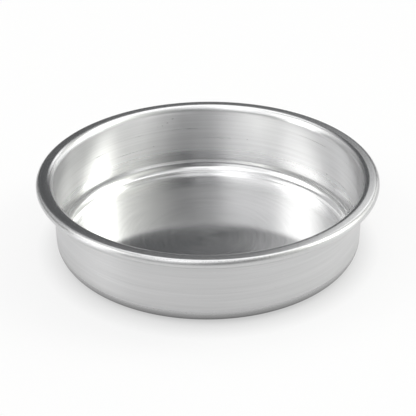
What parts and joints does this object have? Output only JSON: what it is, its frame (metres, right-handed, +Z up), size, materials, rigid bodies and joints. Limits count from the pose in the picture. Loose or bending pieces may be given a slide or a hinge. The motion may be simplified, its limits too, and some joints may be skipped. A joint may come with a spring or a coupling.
{
  "type": "round cake tin",
  "caption": "Round straight-sided cake tin of bare satin aluminium, with a flat-topped rim rolled outwards round a steel wire.",
  "frame": {"origin": "centre of the underside, on the surface that the tin rests on", "axes": "+Z up along the tin's axis, through the open mouth; the wire's cut ends meet at +Y, the back"},
  "size_m": [0.226, 0.226, 0.0522],
  "materials": {
    "aluminium": "satin, lathe-brushed round the axis, bare metal",
    "steel_wire": "dull galvanised wire"
  },
  "bodies": {
    "root": {"pan_shell": "aluminium", "rim_wire": "steel_wire"}
  },
  "joints": []
}
